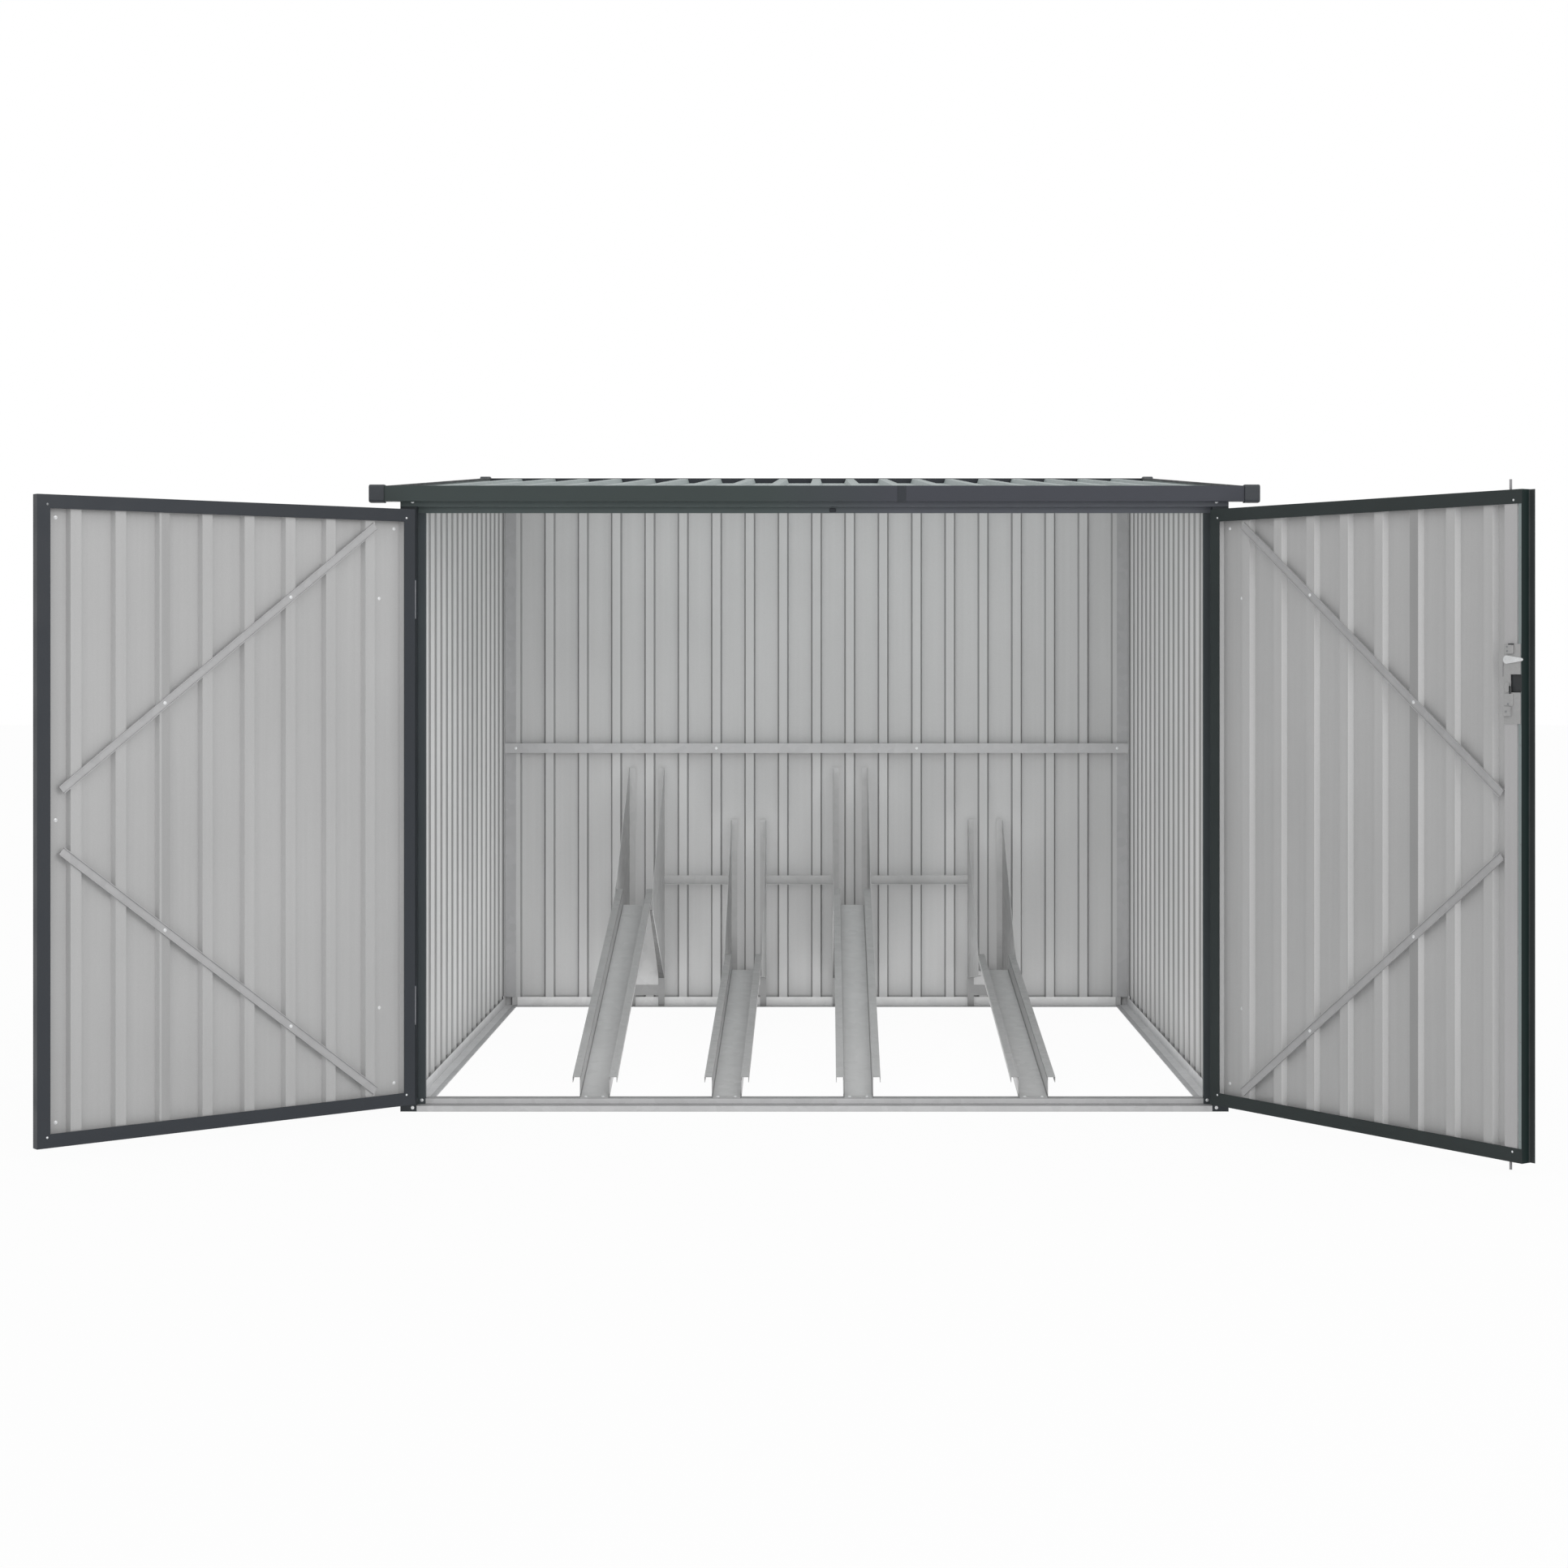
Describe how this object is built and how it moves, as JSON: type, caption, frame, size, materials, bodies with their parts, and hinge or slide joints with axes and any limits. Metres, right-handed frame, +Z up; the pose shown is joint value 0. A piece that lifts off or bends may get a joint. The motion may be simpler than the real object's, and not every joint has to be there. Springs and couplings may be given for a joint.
{
  "type": "bike shelter",
  "caption": "Walk-in bike shelter of ribbed sheet metal with a sloping roof, hinged double doors with a rod latch, and a rack of sloping wheel rails with wheel holders.",
  "frame": {"origin": "centre of the base frame's anchor holes at ground level", "axes": "+X to the right seen from the front, +Y from the doors to the back, +Z up"},
  "size_m": [3.2843, 2.9381, 1.698],
  "materials": {
    "frame_paint": "satin",
    "sheet_coat": "satin",
    "zinc_steel": "satin",
    "hinge_zinc": "satin",
    "cap_plastic": "matt",
    "lock_plastic": "matt"
  },
  "bodies": {
    "shelter": {"base_front_sill": "zinc_steel", "base_side_channels": "zinc_steel", "base_rear_channel": "zinc_steel", "front_posts": "frame_paint", "front_header": "frame_paint", "rear_corner_posts": "zinc_steel", "rear_corner_trims": "frame_paint", "rear_top_rail": "zinc_steel", "side_top_rails": "frame_paint", "left_wall": "sheet_coat", "right_wall": "sheet_coat", "rear_wall": "sheet_coat", "rear_girt": "zinc_steel", "roof_sheet": "sheet_coat", "front_gutter": "frame_paint", "gutter_splice": "frame_paint", "rear_roof_profile": "frame_paint", "roof_end_caps": "cap_plastic", "roof_side_trims": "frame_paint", "rack_tie_bars": "zinc_steel", "hinge_post_leaves": "hinge_zinc", "bike_rail_1": "zinc_steel", "wheel_holder_1": "zinc_steel", "bike_rail_2": "zinc_steel", "wheel_holder_2": "zinc_steel", "bike_rail_3": "zinc_steel", "wheel_holder_3": "zinc_steel", "bike_rail_4": "zinc_steel", "wheel_holder_4": "zinc_steel"},
    "left_door": {"left_door_frame": "frame_paint", "left_door_panel": "sheet_coat", "left_door_braces": "zinc_steel", "left_hinge_door_leaves": "hinge_zinc"},
    "right_door": {"right_door_frame": "frame_paint", "right_door_panel": "sheet_coat", "right_door_braces": "zinc_steel", "right_hinge_door_leaves": "hinge_zinc", "right_door_lock_stile": "sheet_coat", "right_door_astragal": "frame_paint", "latch_plate": "hinge_zinc", "lock_case": "lock_plastic"},
    "latch_handle": {"latch_cam": "hinge_zinc", "latch_lever": "lock_plastic"},
    "top_rod": {"top_latch_rod": "hinge_zinc"},
    "bottom_rod": {"bottom_latch_rod": "hinge_zinc"}
  },
  "joints": [
    {"name": "left_door_swing", "type": "hinge", "parent": "shelter", "child": "left_door", "pos_m": [-0.9815, -1.041, 0.748], "axis": [0, 0, -1], "range_deg": [-140.5, 34.5]},
    {"name": "right_door_swing", "type": "hinge", "parent": "shelter", "child": "right_door", "pos_m": [0.9815, -1.041, 0.748], "axis": [0, 0, 1], "range_deg": [-125.3, 49.7]},
    {"name": "handle_turn", "type": "hinge", "parent": "right_door", "child": "latch_handle", "pos_m": [1.52266, -1.80531, 1.107], "axis": [0.8161, 0.5779, 0], "range_deg": [0, 90]},
    {"name": "top_rod_slide", "type": "slide", "parent": "right_door", "child": "top_rod", "axis": [0, 0, -1], "range_m": [0, 0.0227]},
    {"name": "bottom_rod_slide", "type": "slide", "parent": "right_door", "child": "bottom_rod", "axis": [0, 0, 1], "range_m": [0, 0.0227]}
  ],
  "couplings": [
    {"joint": "top_rod_slide", "follows": "handle_turn", "m_per_rad": 0.014405},
    {"joint": "bottom_rod_slide", "follows": "handle_turn", "m_per_rad": 0.014405}
  ]
}
